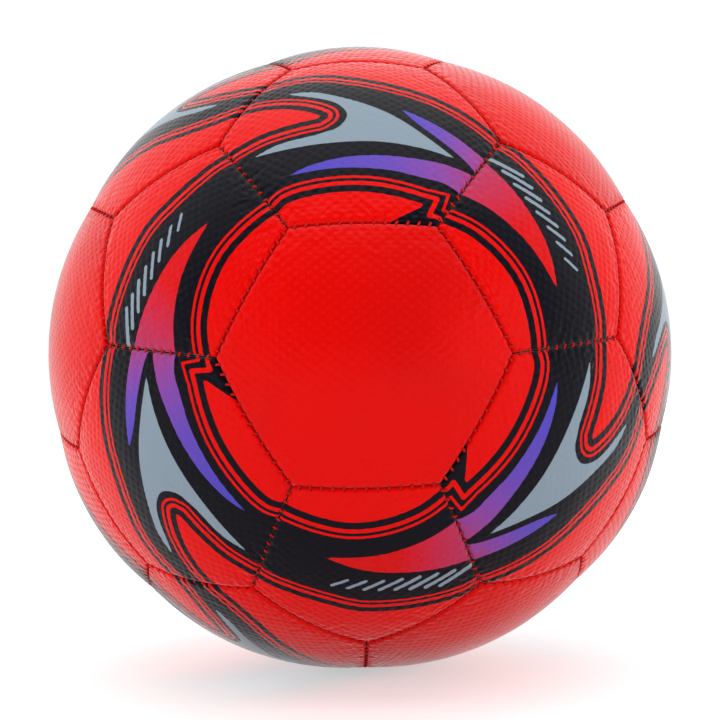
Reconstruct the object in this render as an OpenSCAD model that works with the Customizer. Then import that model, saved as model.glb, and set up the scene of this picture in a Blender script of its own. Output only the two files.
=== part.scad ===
// Thirty-two-panel stitched soccer ball, opened down to its bladder and valve.
// Twenty hexagons and twelve pentagons follow a truncated icosahedron. Each panel is a crowned cover
// with its sewn edge turned in, a foam pad glued under it and a cloth lining under the foam.
// The ball's centre is the origin. A plain red hexagon faces -Y, and the valve comes out along +Y.

/* [Ball] */
// Diameter over the middle of the panels
ball_d = 220; // [180:1:270]
// How far the cover drops from the middle of a panel to the middle of its seams
seam_dip = 1.2; // [0.6:0.1:1.8]

/* [Panels] */
// Thickness of the coated outer cover
cover_t = 0.9; // [0.6:0.1:1.4]
// Thickness of the foam pad at the seams, where it is thinnest
foam_t = 1.6; // [1.2:0.1:3]
// Thickness of the cloth lining under the foam
lining_t = 0.8; // [0.4:0.1:1.5]

/* [Stitching] */
// Diameter of the waxed sewing thread
thread_d = 0.8; // [0.4:0.1:1.2]
// Gap on each side of the thread, between it and the turned-in edge of a panel
thread_clearance = 0.05; // [0.02:0.01:0.2]
// Depth of the thread's top below the edge of the cover
thread_depth = 0.5; // [0.2:0.1:1]
// Distance from the end of a seam's thread to the corner where three panels meet
thread_end = 0.8; // [0.7:0.1:2]

/* [Bladder] */
// Thickness of the butyl rubber bladder
bladder_t = 0.8; // [0.5:0.1:1.5]

/* [Valve] */
// Diameter of the rubber neck that fills the hole in the valve panel
neck_d = 10; // [9.5:0.5:14]
// Gap around the neck where it passes the layers of the ball
neck_clearance = 0.2; // [0.1:0.05:0.5]
// Depth of the neck's rim below the middle of the panel
neck_depth = 0.5; // [0.3:0.1:1]
// Diameter of the flange that is bonded to the inside of the bladder
flange_d = 28; // [22:1:36]
// Thickness of that flange
flange_t = 1.2; // [0.8:0.1:2]
// Diameter of the stem that hangs inside the bladder
stem_d = 13; // [11:0.5:16]
// Length of the stem below the inside of the bladder
stem_length = 12; // [10:1:18]
// Diameter of the plug that is pressed into the housing
plug_d = 6.5; // [5:0.5:7]
// Diameter of the plug's countersunk head
plug_head_d = 8.5; // [7.5:0.1:8.5]
// Depth of the countersink that the head fills
plug_head_depth = 1; // [0.5:0.1:2]
// How far the plug's inner end stays inside the end of the stem
plug_setback = 1; // [0.5:0.5:3]
// Diameter of the hole that takes the inflating needle
needle_bore_d = 2.2; // [1.8:0.1:2.6]
// Solid rubber left below the needle hole, where the slit closes
plug_floor = 3; // [2:0.5:5]
// Diameter of the cloth patch that strengthens the panel around the valve
patch_d = 34; // [30:1:40]
// Thickness of that patch
patch_t = 0.6; // [0.3:0.1:0.8]

/* [Hidden] */
$fn = 120;
golden = (1 + sqrt(5)) / 2;
ball_r = ball_d / 2;
seam_r = ball_r - seam_dip;
seam_gap = thread_d + 2 * thread_clearance;
foam_in_r = seam_r - cover_t - foam_t;
bladder_r = foam_in_r - lining_t;
bladder_in_r = bladder_r - bladder_t;
thread_r = seam_r - thread_depth - thread_d / 2;

// Angles at the ball's centre, from the middle of a panel to the middle of its side and next panel
hexagon_edge = acos(sqrt(5) / 3) / 2;
pentagon_polar = acos(sqrt((5 + 2 * sqrt(5)) / 15));
pentagon_edge = pentagon_polar - hexagon_edge;
half_side = asin(2 / sqrt(58 + 18 * sqrt(5)));
// A red hexagon with the three swirl hexagons and three pentagons around it is one ring, and the ball
// has four. Half turns about three square axes carry the first ring onto the other three.
rings = 4;
spokes = 3;
swap_polar = acos(1 / sqrt(3));
swap_turn = acos(golden * golden / (2 * sqrt(2)));
first_hexagon = 90;
first_pentagon = 30;
// Sides of a hexagon that meet hexagons, by the angle around its middle
ring_side = -90;
plain_side = 30;
pair_side = 150;
// Rings whose swirl hexagon carries the thread of the seam between two swirl hexagons, for each spoke
pair_rings = [[0, 2], [0, 1], [0, 1]];

hole_d = neck_d + 2 * neck_clearance;
neck_top = ball_r - neck_depth;
stem_end = bladder_in_r - stem_length;
plug_end = stem_end + plug_setback;

function swap_axis(ring) =
    let (azimuth = first_hexagon + swap_turn + 120 * (ring - 1))
    [sin(swap_polar) * cos(azimuth), -cos(swap_polar), sin(swap_polar) * sin(azimuth)];

// Outward shift of the sphere that crowns a panel, so that its seams lie at seam_r
function crown_shift(edge) =
    (ball_r * ball_r - seam_r * seam_r) / (2 * (ball_r - seam_r * cos(edge)));

// Puts a piece made about +Z on the ball: polar is its angle from -Y, azimuth runs from +X towards +Z
module on_ball(ring, polar, azimuth) {
    rotate(a = ring == 0 ? 0 : 180, v = swap_axis(ring))
        rotate([90 - polar, 90 - azimuth, 0])
            children();
}

module on_red(ring) {
    on_ball(ring, 0, first_hexagon) rotate(180) children();
}

module on_plain(ring) {
    on_ball(ring, 180, first_hexagon) rotate(180) children();
}

module on_swirl_hexagon(number) {
    on_ball(floor(number / spokes), 2 * hexagon_edge, first_hexagon + 120 * (number % spokes)) children();
}

module on_swirl_pentagon(number) {
    on_ball(floor(number / spokes), pentagon_polar, first_pentagon + 120 * (number % spokes)) children();
}

// Puts a piece on every hexagon but the valve's, or on every pentagon
module on_all_hexagons() {
    for (n = [0:rings - 1]) on_red(n) children();
    for (n = [0:rings * spokes - 1]) on_swirl_hexagon(n) children();
    for (n = [1:rings - 1]) on_plain(n) children();
}

module on_all_pentagons() {
    for (n = [0:rings * spokes - 1]) on_swirl_pentagon(n) children();
}

// Cone with flat sides that runs from the ball's centre through a panel, pulled in by inset all round
module wedge(sides, edge, inset) {
    intersection_for (side = [0:sides - 1])
        rotate([0, edge, 360 * side / sides - 90])
            translate([-ball_d - inset, -ball_d, 0])
                cube([ball_d, 2 * ball_d, ball_d]);
}

// Ball whose crown lies depth below a panel's outer face
module crown(edge, depth) {
    translate([0, 0, crown_shift(edge)])
        sphere(r = ball_r - crown_shift(edge) - depth);
}

// Everything of one panel from the given depth inwards
module panel_block(sides, edge, depth) {
    intersection() {
        crown(edge, depth);
        wedge(sides, edge, seam_gap / 2 + depth);
    }
}

// Coated cover with its sewn edges turned in down to the bladder
module cover(sides, edge) {
    difference() {
        panel_block(sides, edge, 0);
        panel_block(sides, edge, cover_t);
        sphere(r = bladder_r);
    }
}

// Foam that fills the cover, thick under the crown and thin at the seams
module foam_pad(sides, edge) {
    difference() {
        panel_block(sides, edge, cover_t);
        sphere(r = foam_in_r);
    }
}

// Cloth glued under the foam, inside the turned-in edges
module lining(sides, edge) {
    difference() {
        intersection() {
            sphere(r = foam_in_r);
            wedge(sides, edge, seam_gap / 2 + cover_t);
        }
        sphere(r = bladder_r);
    }
}

module valve_hole() {
    cylinder(d = hole_d, h = 2 * ball_r);
}

// Thread along one side of a panel, from corner to corner
module side_thread(edge, side_azimuth) {
    reach = half_side - asin(thread_end / thread_r);
    rotate([0, edge - 90, side_azimuth])
        rotate([0, 0, -reach])
            rotate_extrude(angle = 2 * reach)
                translate([thread_r, 0])
                    circle(d = thread_d);
}

module red_hexagon(number) {
    color("#d40a08") on_red(number) cover(6, hexagon_edge);
}

module swirl_hexagon(number) {
    color("#5c2a30") on_swirl_hexagon(number) cover(6, hexagon_edge);
}

module swirl_pentagon(number) {
    color("#3c2c38") on_swirl_pentagon(number) cover(5, pentagon_edge);
}

module plain_hexagon(number) {
    color("#c00806") on_plain(number) cover(6, hexagon_edge);
}

module valve_hexagon() {
    color("#c00806")
        on_plain(0)
            difference() {
                cover(6, hexagon_edge);
                valve_hole();
            }
}

module hexagon_foam_pads() {
    color("#e8e4da") on_all_hexagons() foam_pad(6, hexagon_edge);
}

module pentagon_foam_pads() {
    color("#e8e4da") on_all_pentagons() foam_pad(5, pentagon_edge);
}

// Foam under the valve panel, with a pocket for the patch
module valve_foam_pad() {
    color("#e8e4da")
        on_plain(0)
            difference() {
                foam_pad(6, hexagon_edge);
                valve_hole();
                patch_shape();
            }
}

module hexagon_linings() {
    color("#d8d2c4") on_all_hexagons() lining(6, hexagon_edge);
}

module pentagon_linings() {
    color("#d8d2c4") on_all_pentagons() lining(5, pentagon_edge);
}

module valve_lining() {
    color("#d8d2c4")
        on_plain(0)
            difference() {
                lining(6, hexagon_edge);
                valve_hole();
            }
}

module hexagon_seam_threads() {
    color("#7a0a0c") {
        for (n = [0:rings * spokes - 1], side = [ring_side, plain_side])
            on_swirl_hexagon(n) side_thread(hexagon_edge, side);
        for (spoke = [0:spokes - 1], ring = pair_rings[spoke])
            on_swirl_hexagon(ring * spokes + spoke) side_thread(hexagon_edge, pair_side);
    }
}

module pentagon_seam_threads() {
    color("#7a0a0c")
        for (side = [0:4])
            on_all_pentagons() side_thread(pentagon_edge, 72 * side - 90);
}

module bladder() {
    color("#262626")
        on_plain(0)
            difference() {
                sphere(r = bladder_r);
                sphere(r = bladder_in_r);
                valve_hole();
            }
}

// Round of cloth that follows the lining, sunk into the foam
module patch_shape() {
    intersection() {
        difference() {
            sphere(r = foam_in_r + patch_t);
            sphere(r = foam_in_r);
        }
        cylinder(d = patch_d, h = 2 * ball_r);
    }
}

module valve_patch() {
    color("#c8c0b0")
        on_plain(0)
            difference() {
                patch_shape();
                valve_hole();
            }
}

// Shape of the plug, which the housing is hollowed by
module plug_shape() {
    translate([0, 0, plug_end])
        cylinder(d = plug_d, h = neck_top - plug_end);
    translate([0, 0, neck_top - plug_head_depth])
        cylinder(d1 = plug_d, d2 = plug_head_d, h = plug_head_depth);
}

// Flange inside the bladder, neck out to the cover and stem into the ball
module valve_housing() {
    color("#1c1c1c")
        on_plain(0)
            difference() {
                union() {
                    intersection() {
                        difference() {
                            sphere(r = bladder_in_r);
                            sphere(r = bladder_in_r - flange_t);
                        }
                        cylinder(d = flange_d, h = ball_r);
                    }
                    translate([0, 0, bladder_in_r - flange_t])
                        cylinder(d = neck_d, h = neck_top - bladder_in_r + flange_t);
                    translate([0, 0, stem_end])
                        cylinder(d = stem_d, h = stem_length - flange_t);
                }
                plug_shape();
                translate([0, 0, stem_end - 1])
                    cylinder(d = plug_d, h = plug_setback + 1);
            }
}

module valve_core() {
    color("#303030")
        on_plain(0)
            difference() {
                plug_shape();
                translate([0, 0, plug_end + plug_floor])
                    cylinder(d = needle_bore_d, h = ball_r);
            }
}

for (n = [1:rings])
    red_hexagon(n - 1);
for (n = [1:rings * spokes])
    swirl_hexagon(n - 1);
for (n = [1:rings * spokes])
    swirl_pentagon(n - 1);
for (n = [1:rings - 1])
    plain_hexagon(n);
valve_hexagon();
hexagon_foam_pads();
pentagon_foam_pads();
valve_foam_pad();
hexagon_linings();
pentagon_linings();
valve_lining();
hexagon_seam_threads();
pentagon_seam_threads();
bladder();
valve_patch();
valve_housing();
valve_core();
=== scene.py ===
# %% [markdown]
# # A stitched soccer ball
# Thirty-two covers of PVC-coated cloth are sewn inside out over a rubber bladder, then turned and
# blown up. Twelve hexagons and twelve pentagons carry a printed swirl, and eight hexagons are bare.
# The shape of every cover follows one rule, so a node tree makes it, and the print is drawn as
# distances to a few outlines, which the material turns into sharp ink edges.

# %% Load the frame
import math
import bpy
import numpy as np
from mathutils import Matrix, Vector


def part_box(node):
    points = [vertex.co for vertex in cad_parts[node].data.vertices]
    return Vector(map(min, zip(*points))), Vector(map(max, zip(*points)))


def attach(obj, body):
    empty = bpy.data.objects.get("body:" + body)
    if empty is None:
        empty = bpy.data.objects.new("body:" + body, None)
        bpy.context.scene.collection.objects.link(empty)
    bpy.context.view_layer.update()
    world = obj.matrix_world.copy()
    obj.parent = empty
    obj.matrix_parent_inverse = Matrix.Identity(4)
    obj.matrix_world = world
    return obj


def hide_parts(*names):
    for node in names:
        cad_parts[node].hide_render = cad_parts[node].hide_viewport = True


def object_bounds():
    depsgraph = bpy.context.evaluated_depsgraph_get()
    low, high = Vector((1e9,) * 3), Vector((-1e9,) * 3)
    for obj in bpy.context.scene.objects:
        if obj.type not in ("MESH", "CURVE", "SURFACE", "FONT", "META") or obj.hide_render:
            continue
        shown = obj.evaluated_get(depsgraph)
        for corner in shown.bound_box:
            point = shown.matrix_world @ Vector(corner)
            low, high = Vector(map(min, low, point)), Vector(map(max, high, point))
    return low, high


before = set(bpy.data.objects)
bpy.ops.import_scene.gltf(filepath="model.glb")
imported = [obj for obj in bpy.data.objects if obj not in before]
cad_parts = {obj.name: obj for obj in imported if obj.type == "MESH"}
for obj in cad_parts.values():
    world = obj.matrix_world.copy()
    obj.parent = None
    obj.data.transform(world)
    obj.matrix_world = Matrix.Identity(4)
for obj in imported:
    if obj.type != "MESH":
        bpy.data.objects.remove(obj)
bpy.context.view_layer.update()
MM = 0.001
BALL_R = -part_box("red_hexagon_1")[0].y
BLADDER_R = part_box("bladder")[1].x
print("ball radius", round(BALL_R / MM, 2), "mm, bladder radius", round(BLADDER_R / MM, 2), "mm")

# %% [markdown]
# ## The layout
# The ball is a truncated icosahedron. Every angle below is the angle at the ball's centre. A red
# hexagon with three swirl hexagons and three pentagons is one ring, and half turns about three
# square axes carry the first ring onto the other three. A panel is always made about +Z with its
# outer edge towards +Y, and then one matrix puts it on the ball.

# %% Angles of the layout
GOLDEN = (1 + math.sqrt(5)) / 2
HEXAGON_EDGE = math.acos(math.sqrt(5) / 3) / 2
PENTAGON_POLAR = math.acos(math.sqrt((5 + 2 * math.sqrt(5)) / 15))
PENTAGON_EDGE = PENTAGON_POLAR - HEXAGON_EDGE
SWAP_POLAR = math.acos(1 / math.sqrt(3))
SWAP_TURN = math.acos(GOLDEN * GOLDEN / (2 * math.sqrt(2)))
FIRST_HEXAGON = math.radians(90)
FIRST_PENTAGON = math.radians(30)
THIRD = math.radians(120)
RINGS = 4
SPOKES = 3


def swap_axis(ring):
    azimuth = FIRST_HEXAGON + SWAP_TURN + THIRD * (ring - 1)
    flat = math.sin(SWAP_POLAR)
    return Vector((flat * math.cos(azimuth), -math.cos(SWAP_POLAR), flat * math.sin(azimuth)))


def on_ball(ring, polar, azimuth, turn=0.0):
    """Matrix that carries a panel made about +Z to its place: polar is its angle from -Y."""
    swap = Matrix.Rotation(math.pi if ring else 0.0, 4, swap_axis(ring))
    around = Matrix.Rotation(math.radians(90) - azimuth, 4, "Y")
    lean = Matrix.Rotation(math.radians(90) - polar, 4, "X")
    return swap @ around @ lean @ Matrix.Rotation(turn, 4, "Z")


def swirl_hexagon_place(number):
    ring, spoke = divmod(number, SPOKES)
    return on_ball(ring, 2 * HEXAGON_EDGE, FIRST_HEXAGON + THIRD * spoke)


def swirl_pentagon_place(number):
    ring, spoke = divmod(number, SPOKES)
    return on_ball(ring, PENTAGON_POLAR, FIRST_PENTAGON + THIRD * spoke)


def red_place(ring):
    return on_ball(ring, 0.0, FIRST_HEXAGON, math.pi)


def plain_place(ring):
    return on_ball(ring, math.pi, FIRST_HEXAGON, math.pi)


print("pentagons stand", round(math.degrees(PENTAGON_POLAR), 2), "degrees from their ring's middle")

# %% [markdown]
# ## Small helpers
# One function adds any node, sets it and links it. Where an input is given a node, it is linked to
# that node's first output in use, so that a tree reads like a formula. Another function turns a hex
# colour to linear light, so that colours can be written the way a paint program shows them.

# %% Nodes and colours
MATH, VECTOR_MATH, RANGE = "ShaderNodeMath", "ShaderNodeVectorMath", "ShaderNodeMapRange"
MIX, ATTRIBUTE, RAMP = "ShaderNodeMix", "ShaderNodeAttribute", "ShaderNodeValToRGB"
NOISE, BUMP = "ShaderNodeTexNoise", "ShaderNodeBump"


def feed(tree, node, inputs):
    """Gives a node's inputs, by place or by name, a value, a socket or another node."""
    for key, value in inputs.items() if isinstance(inputs, dict) else enumerate(inputs):
        if isinstance(value, bpy.types.Node):
            value = next(output for output in value.outputs if output.enabled)
        if isinstance(value, bpy.types.NodeSocket):
            tree.links.new(value, node.inputs[key])
        else:
            node.inputs[key].default_value = value


def add(tree, kind, inputs=(), stops=(), **settings):
    """Adds a node with its settings, its inputs and, on a colour ramp, its stops."""
    node = tree.nodes.new(kind)
    for name, value in settings.items():
        setattr(node, name, value)
    feed(tree, node, inputs)
    if stops:
        elements = node.color_ramp.elements
        while len(elements) < len(stops):
            elements.new(0.5)
        for element, (place, colour) in zip(elements, stops):
            element.position, element.color = place, colour
    return node


def linear(colour):
    """Turns #rrggbb in sRGB to linear RGBA."""
    parts = [int(colour[i:i + 2], 16) / 255 for i in (1, 3, 5)]
    return (*[p / 12.92 if p <= 0.04045 else ((p + 0.055) / 1.055) ** 2.4 for p in parts], 1.0)


# %% New materials and trees
def new_material(name):
    """Material with a single Principled surface, and its tree and shader."""
    material = bpy.data.materials.new(name)
    material.use_nodes = True
    return material, material.node_tree, material.node_tree.nodes["Principled BSDF"]


def new_geometry_tree(name, numbers):
    """Geometry tree with a mesh input, one named input for each number, and a material input."""
    tree = bpy.data.node_groups.new(name, "GeometryNodeTree")
    tree.interface.new_socket("Geometry", in_out="INPUT", socket_type="NodeSocketGeometry")
    for number in numbers:
        tree.interface.new_socket(number, in_out="INPUT", socket_type="NodeSocketFloat")
    tree.interface.new_socket("Material", in_out="INPUT", socket_type="NodeSocketMaterial")
    tree.interface.new_socket("Geometry", in_out="OUTPUT", socket_type="NodeSocketGeometry")
    return tree, add(tree, "NodeGroupInput").outputs


# %% Finished pieces
def run_tree(source, name, tree, values):
    """Runs a geometry tree on a mesh and returns the result as a plain mesh."""
    carrier = bpy.data.objects.new(name + "_carrier", source)
    bpy.context.scene.collection.objects.link(carrier)
    modifier = carrier.modifiers.new("shape", "NODES")
    modifier.node_group = tree
    for item in tree.interface.items_tree:
        if item.in_out == "INPUT" and item.name in values:
            modifier[item.identifier] = values[item.name]
    evaluated = carrier.evaluated_get(bpy.context.evaluated_depsgraph_get())
    mesh = bpy.data.meshes.new_from_object(evaluated, preserve_all_data_layers=True,
                                           depsgraph=bpy.context.evaluated_depsgraph_get())
    mesh.name = name
    bpy.data.objects.remove(carrier)
    return mesh


def piece(name, mesh, slot, *nodes):
    """Makes a finished piece that rides on the ball and stands for its CAD nodes."""
    made = bpy.data.objects.new(name, mesh)
    bpy.context.scene.collection.objects.link(made)
    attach(made, "root")
    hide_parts(*nodes)
    return made


# %% [markdown]
# ## The cut blank of a cover
# A cover is cut flat, and its sewn edge is turned in. The blank below lays out only the mesh: rings
# of triangles from the middle to the sides, the foot of the turned edge, and a coarse underside. Its
# points lie on a ball of radius 1, and the attribute `layer` says which face each belongs to, so
# that the node tree can give them their real places. The rings close up near the seams, where the
# fold needs more points.

# %% Sizes of the mesh
RINGS_ABOVE = 72
RINGS_BELOW = 12
RATIO = RINGS_ABOVE // RINGS_BELOW
HOLE_RING = 2
CROWDING = 0.4
HALF_GAP = 0.2 * MM
TURNED_EDGE = 1.3 * MM
VALVE_HOLE_R = 5.2 * MM
TOP, FOOT, UNDER = 0.0, 1.0, 2.0
print("turned edge", round(TURNED_EDGE / MM, 1), "mm thick, seam gap", round(2 * HALF_GAP / MM, 1), "mm")


# %% Sides and rings
def side_azimuth(side, sides):
    """Angle round the panel's middle at which a side lies; side 0 is the one towards -Y."""
    return math.radians(-90) + 2 * math.pi * side / sides


def side_vectors(side, sides, edge):
    """Unit vectors of one side: inwards and square to its seam's plane, along it, to its middle."""
    azimuth = side_azimuth(side, sides)
    out, up = Vector((math.cos(azimuth), math.sin(azimuth), 0)), Vector((0, 0, 1))
    inward = up * math.sin(edge) - out * math.cos(edge)
    middle = up * math.cos(edge) + out * math.sin(edge)
    return inward, up.cross(out), middle


def inset_fraction(edge, distance):
    """How far out from the middle, as a share, a point is that keeps its distance from a side."""
    return math.tan(edge - math.asin(distance / BALL_R)) / math.tan(edge)


def ring_points(sides, edge, count, share, roundness):
    """Directions on one ring: a polygon that turns into a circle as roundness goes to 1."""
    half = math.pi / sides
    points = []
    for side in range(sides):
        azimuth = side_azimuth(side, sides)
        for step in range(count):
            across = math.tan(half) * (2 * step / count - 1)
            flat = np.array([math.cos(azimuth) - across * math.sin(azimuth),
                             math.sin(azimuth) + across * math.cos(azimuth)])
            even = flat / np.linalg.norm(flat)
            spot = math.tan(edge) * share * ((1 - roundness) * flat + roundness * even)
            points.append((spot[0], spot[1], 1.0))
    points = np.array(points) if points else np.array([(0.0, 0.0, 1.0)])
    return points / np.linalg.norm(points, axis=1)[:, None]


# %% Faces between the rings
def sheet_of_rings(sides, edge, rings, first, outer_share, hole_share, crowding):
    """Triangulated face of one cover from ring `first` outwards, as points and triangles."""
    blocks, starts, triangles, total = [], [], [], 0
    for ring in range(first, rings + 1):
        far = 1 - (ring - first) / (rings - first)
        share = 1 - ((1 - crowding) * far + crowding * far * far)
        share = hole_share + (outer_share - hole_share) * share
        block = ring_points(sides, edge, ring, share, far ** 3 if first else 0.0)
        blocks.append(block)
        starts.append(total)
        total += len(block)
    for ring in range(first + 1, rings + 1):
        outer, inner = starts[ring - first], starts[ring - first - 1]
        around, below = sides * ring, max(sides * (ring - 1), 1)
        for side in range(sides):
            for step in range(ring):
                a = outer + side * ring + step
                b = outer + (side * ring + step + 1) % around
                c = inner + (side * (ring - 1) + step) % below
                triangles.append((a, b, c))
                if step < ring - 1:
                    d = inner + (side * (ring - 1) + step + 1) % below
                    triangles.append((c, b, d))
    return np.vstack(blocks), np.array(triangles), starts


def zip_rings(fine, coarse, ratio):
    """Triangles between a fine and a coarse ring, turned so that the fine ring runs first."""
    triangles = []
    for spot in range(len(coarse)):
        near, far = coarse[spot], coarse[(spot + 1) % len(coarse)]
        for step in range(ratio):
            a = fine[spot * ratio + step]
            b = fine[(spot * ratio + step + 1) % len(fine)]
            triangles.append((a, b, near if step < ratio / 2 else far))
        middle = fine[spot * ratio + (ratio + 1) // 2]
        triangles.append((near, middle, far))
    return triangles


# %% The whole blank
def write_field(mesh, name, values):
    """Stores one number, or one vector, for every point of a mesh."""
    kind, key = ("FLOAT", "value") if values.ndim == 1 else ("FLOAT_VECTOR", "vector")
    field = mesh.attributes.get(name) or mesh.attributes.new(name, kind, "POINT")
    field.data.foreach_set(key, values.astype(np.float32).ravel())


def cut_blank(sides, edge, hole_r=0.0):
    """The whole blank: top face, turned edge and underside, with a hole where hole_r asks for one."""
    first_above = HOLE_RING * RATIO if hole_r else 0
    first_below = HOLE_RING if hole_r else 0
    hole_share = math.tan(math.asin(hole_r / BALL_R)) / math.tan(edge)
    top_share = inset_fraction(edge, HALF_GAP)
    under_share = inset_fraction(edge, TURNED_EDGE)
    top, top_faces, top_starts = sheet_of_rings(
        sides, edge, RINGS_ABOVE, first_above, top_share, hole_share, CROWDING)
    under, under_faces, under_starts = sheet_of_rings(
        sides, edge, RINGS_BELOW, first_below, under_share, hole_share, 0.0)
    rim = np.arange(top_starts[-1], len(top))
    foot = np.arange(len(rim)) + len(top)
    inner_foot = np.arange(sides * RINGS_BELOW) + foot[-1] + 1
    under_base = inner_foot[-1] + 1
    under_rim = np.arange(under_starts[-1], len(under)) + under_base
    faces = [tuple(f) for f in top_faces]
    faces += [tuple(f[::-1] + under_base) for f in under_faces]
    for a, b in ((rim, foot), (inner_foot, under_rim)):
        after_a, after_b = np.roll(a, -1), np.roll(b, -1)
        faces += [(a[i], b[i], after_b[i], after_a[i]) for i in range(len(a))]
    faces += [f[::-1] for f in zip_rings(foot, inner_foot, RATIO)]
    if hole_r:
        ring = np.arange(sides * first_above)
        under_ring = np.arange(sides * first_below) + under_base
        faces += zip_rings(ring, under_ring, RATIO)
    points = np.vstack([top, top[rim], under[under_starts[-1]:], under])
    layer = np.concatenate([np.full(len(top), TOP), np.full(len(rim) + len(inner_foot), FOOT),
                            np.full(len(under), UNDER)])
    mesh = bpy.data.meshes.new("blank")
    mesh.from_pydata(points.tolist(), [], [tuple(int(i) for i in f) for f in faces])
    write_field(mesh, "layer", layer)
    return mesh, points


hexagon_blank, hexagon_points = cut_blank(6, HEXAGON_EDGE)
pentagon_blank, pentagon_points = cut_blank(5, PENTAGON_EDGE)
valve_blank, valve_points = cut_blank(6, HEXAGON_EDGE, VALVE_HOLE_R)
print("hexagon blank:", len(hexagon_points), "points; pentagon blank:", len(pentagon_points))

# %% [markdown]
# ## The shape of a cover
# Blown up, a cover is a shallow dome. Towards each seam it rolls over into the groove, and every
# stitch pulls a small gather in the roll. The foil on the cover is embossed with staggered dimples.
# All of this is one rule for the radius along each direction, which suits a node tree: sizes are
# inputs, and the same tree serves hexagons, pentagons and the valve's cover.

# %% Real sizes of the cover
SEAM_DIP = 1.2 * MM
COVER_T = 0.9 * MM
FOLD_WIDTH = 1.4 * MM
FOLD_DEPTH = 1.0 * MM
STITCHES = 13
STITCH_PITCH = 3.3 * MM
STITCH_SLANT = 0.25 * MM
GATHER_WIDTH = 4.5 * MM
GATHER_DEPTH = 0.12 * MM
DIMPLE_ACROSS = 4.0 * MM
DIMPLE_ALONG = 3.1 * MM
DIMPLE_DEPTH = 0.14 * MM
DIMPLE_RIM, DIMPLE_FLOOR = 0.15, 0.95
SWAY_DEPTH = 0.35 * MM
SWAY_SCALE = 5.5
NO_HOLE = -10 * MM

COVER_INPUTS = ("Ball radius", "Seam dip", "Half gap", "Fold width", "Fold depth", "Foot radius",
                "Cover thickness", "Hole radius", "Stitch pitch", "Stitch slant", "Gather width",
                "Gather depth", "Dimple across", "Dimple along", "Dimple depth", "Sway depth", "Seed")


# %% Folds and gathers at the seams
def seam_shapes(tree, given, direction, sides, edge):
    """How far the fold at each seam has turned over, and the waves that the stitches pull, summed."""
    ball, gap = given["Ball radius"], given["Half gap"]
    fold_end = add(tree, MATH, [gap, given["Fold width"]], operation="ADD")
    gather_end = add(tree, MATH, [gap, given["Gather width"]], operation="ADD")
    turns = add(tree, MATH, [2 * math.pi, given["Stitch pitch"]], operation="DIVIDE")
    folds = gathers = 0.0
    for side in range(sides):
        inward, along, _ = side_vectors(side, sides, edge)
        off = add(tree, VECTOR_MATH, [direction, inward], operation="DOT_PRODUCT")
        off = add(tree, MATH, [off, ball], operation="MULTIPLY")
        run = add(tree, VECTOR_MATH, [direction, along], operation="DOT_PRODUCT")
        run = add(tree, MATH, [run, ball], operation="MULTIPLY")
        run = add(tree, MATH, [run, given["Stitch slant"]], operation="SUBTRACT")
        fold = add(tree, RANGE, [off, gap, fold_end, 1.0, 0.0])
        folds = add(tree, MATH, [fold, fold, folds], operation="MULTIPLY_ADD")
        near = add(tree, RANGE, [off, gap, gather_end, 1.0, 0.0], interpolation_type="SMOOTHSTEP")
        wave = add(tree, MATH, [run, turns], operation="MULTIPLY")
        wave = add(tree, MATH, [wave], operation="COSINE")
        gathers = add(tree, MATH, [near, wave, gathers], operation="MULTIPLY_ADD")
    return folds, gathers


def hole_fold(tree, given, direction):
    """How far the foil has turned over at the rim of the valve's hole."""
    flat = add(tree, VECTOR_MATH, [direction, (1, 1, 0)], operation="MULTIPLY")
    reach = add(tree, VECTOR_MATH, [flat], operation="LENGTH")
    reach = add(tree, MATH, [reach, given["Ball radius"]], operation="MULTIPLY")
    end = add(tree, MATH, [given["Fold width"], 0.5, given["Hole radius"]], operation="MULTIPLY_ADD")
    return add(tree, RANGE, [reach, given["Hole radius"], end, 1.0, 0.0])


# %% Embossed dimples
def dimples(tree, given, folds):
    """Depth of the embossing from 0 to 1: staggered spots that fade where the foil is folded."""
    grain = add(tree, "GeometryNodeInputNamedAttribute", {"Name": "grain"}, data_type="FLOAT_VECTOR")
    pitch = add(tree, "ShaderNodeCombineXYZ", [given["Dimple across"], given["Dimple along"], 1.0])
    waves = add(tree, VECTOR_MATH, [grain, pitch], operation="DIVIDE")
    waves = add(tree, VECTOR_MATH, {0: waves, "Scale": 2 * math.pi}, operation="SCALE")
    waves = add(tree, VECTOR_MATH, [waves], operation="COSINE")
    waves = add(tree, "ShaderNodeSeparateXYZ", [waves]).outputs
    spots = add(tree, MATH, [waves[0], waves[1]], operation="MULTIPLY")
    spots = add(tree, RANGE, [spots, DIMPLE_RIM, DIMPLE_FLOOR], interpolation_type="SMOOTHSTEP")
    open_foil = add(tree, MATH, [1.0, folds], operation="SUBTRACT")
    return add(tree, MATH, [spots, open_foil], operation="MULTIPLY")


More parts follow.
